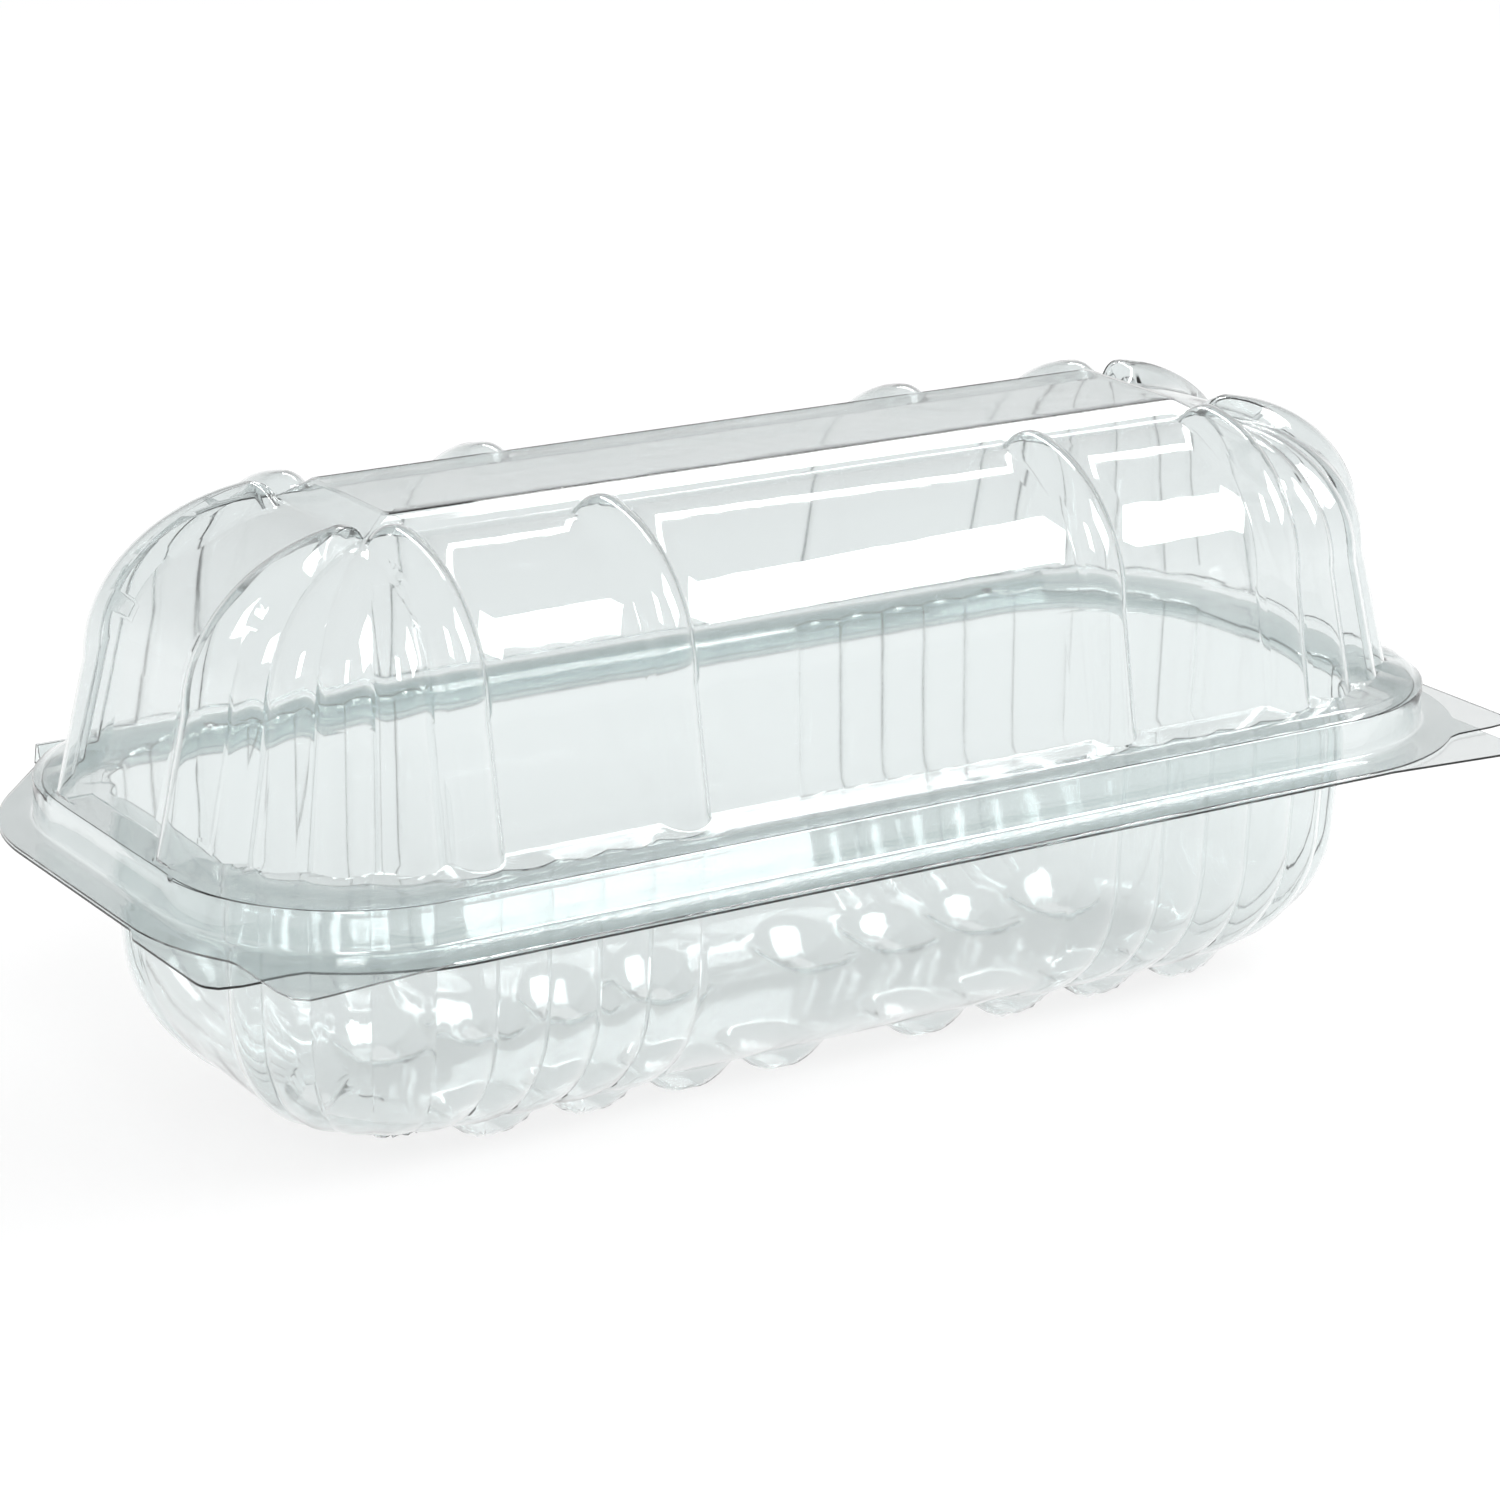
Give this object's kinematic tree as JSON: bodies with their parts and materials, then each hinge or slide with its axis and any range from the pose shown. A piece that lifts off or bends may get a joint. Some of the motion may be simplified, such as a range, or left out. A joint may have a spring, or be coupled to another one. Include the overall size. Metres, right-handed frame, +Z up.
{
  "type": "hinged clear plastic baguette container",
  "caption": "Long clear plastic clamshell for a baguette: a fluted tray on ribbed feet and a high domed, ribbed lid joined by a fold along the back.",
  "frame": {"origin": "middle of the footprint on the table under the closed box's bounding box", "axes": "+X along the length to the viewer's right, +Y to the back where the fold is, +Z up"},
  "size_m": [0.2748, 0.1331, 0.112],
  "materials": {
    "lid_sheet": "clear gloss plastic sheet",
    "tray_sheet": "clear gloss plastic sheet"
  },
  "bodies": {
    "tray": {"tray": "tray_sheet"},
    "lid": {"lid": "lid_sheet"}
  },
  "joints": [
    {"name": "lid_hinge", "type": "hinge", "parent": "tray", "child": "lid", "pos_m": [0, 0.065, 0.0545], "axis": [-1, 0, 0], "range_deg": [0, 170]}
  ]
}
